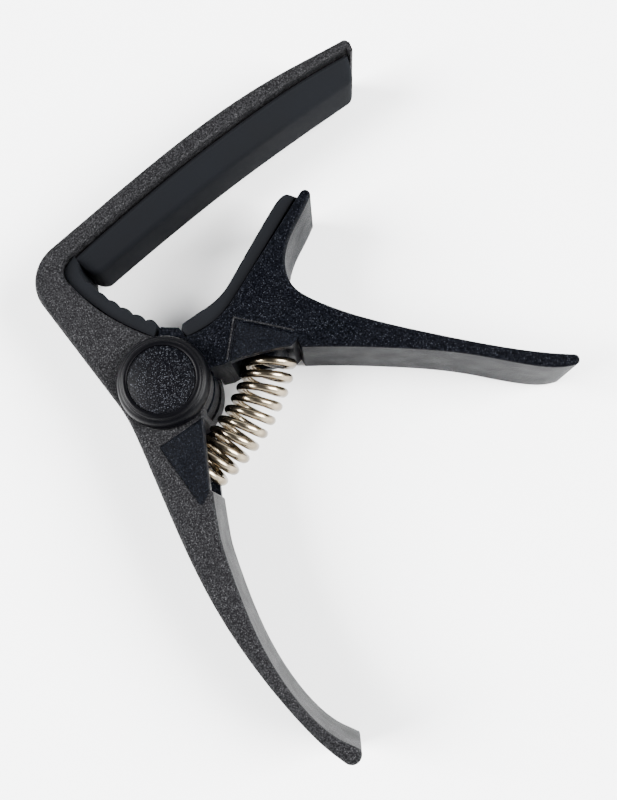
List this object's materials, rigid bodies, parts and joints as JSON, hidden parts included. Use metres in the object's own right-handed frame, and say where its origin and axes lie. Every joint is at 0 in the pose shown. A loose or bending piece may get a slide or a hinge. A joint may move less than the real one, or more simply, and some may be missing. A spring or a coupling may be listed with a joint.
{
  "type": "guitar capo",
  "caption": "Spring-loaded trigger capo: an arm with a padded bar presses the strings and a hinged jaw with two squeeze handles clamps the back of the neck.",
  "frame": {"origin": "on the pivot's axis, in the plane of the flat back face", "axes": "+Z along the pivot, from the back face to the cap; +X along the string arm, from the spine to the arm's free end; +Y from the pivot towards the string arm"},
  "size_m": [0.0749, 0.0929, 0.017],
  "materials": {
    "frame_coat": "sand-textured black powder coat on a die casting",
    "lever_coat": "sand-textured black powder coat on a die casting",
    "silicone": "matte dark grey silicone",
    "seat_plastic": "fine-grained black nylon",
    "cap_plastic": "satin black",
    "badge_glitter": "black glitter disc",
    "spring_nickel": "bright nickel plate",
    "pivot_steel": "zinc-plated steel",
    "bush_brass": "plain",
    "washer_nylon": "natural nylon"
  },
  "bodies": {
    "frame": {"frame": "frame_coat", "string_pad": "silicone", "pivot_barrel": "pivot_steel", "pivot_screw": "pivot_steel", "screw_washer": "pivot_steel", "front_friction_washer": "washer_nylon", "rear_friction_washer": "washer_nylon", "cap_ring": "cap_plastic", "cap_badge": "badge_glitter", "lower_spring_seat": "seat_plastic", "spring": "spring_nickel"},
    "lever": {"lever": "lever_coat", "jaw_pad": "silicone", "lever_bush": "bush_brass", "upper_spring_seat": "seat_plastic"}
  },
  "joints": [
    {"name": "lever_pivot", "type": "hinge", "parent": "frame", "child": "lever", "pos_m": [0, 0, 0], "axis": [0, 0, -1], "range_deg": [0, 30], "stiffness_Nm_per_rad": 2, "springref_deg": -28.65, "deforming": ["spring"]}
  ]
}
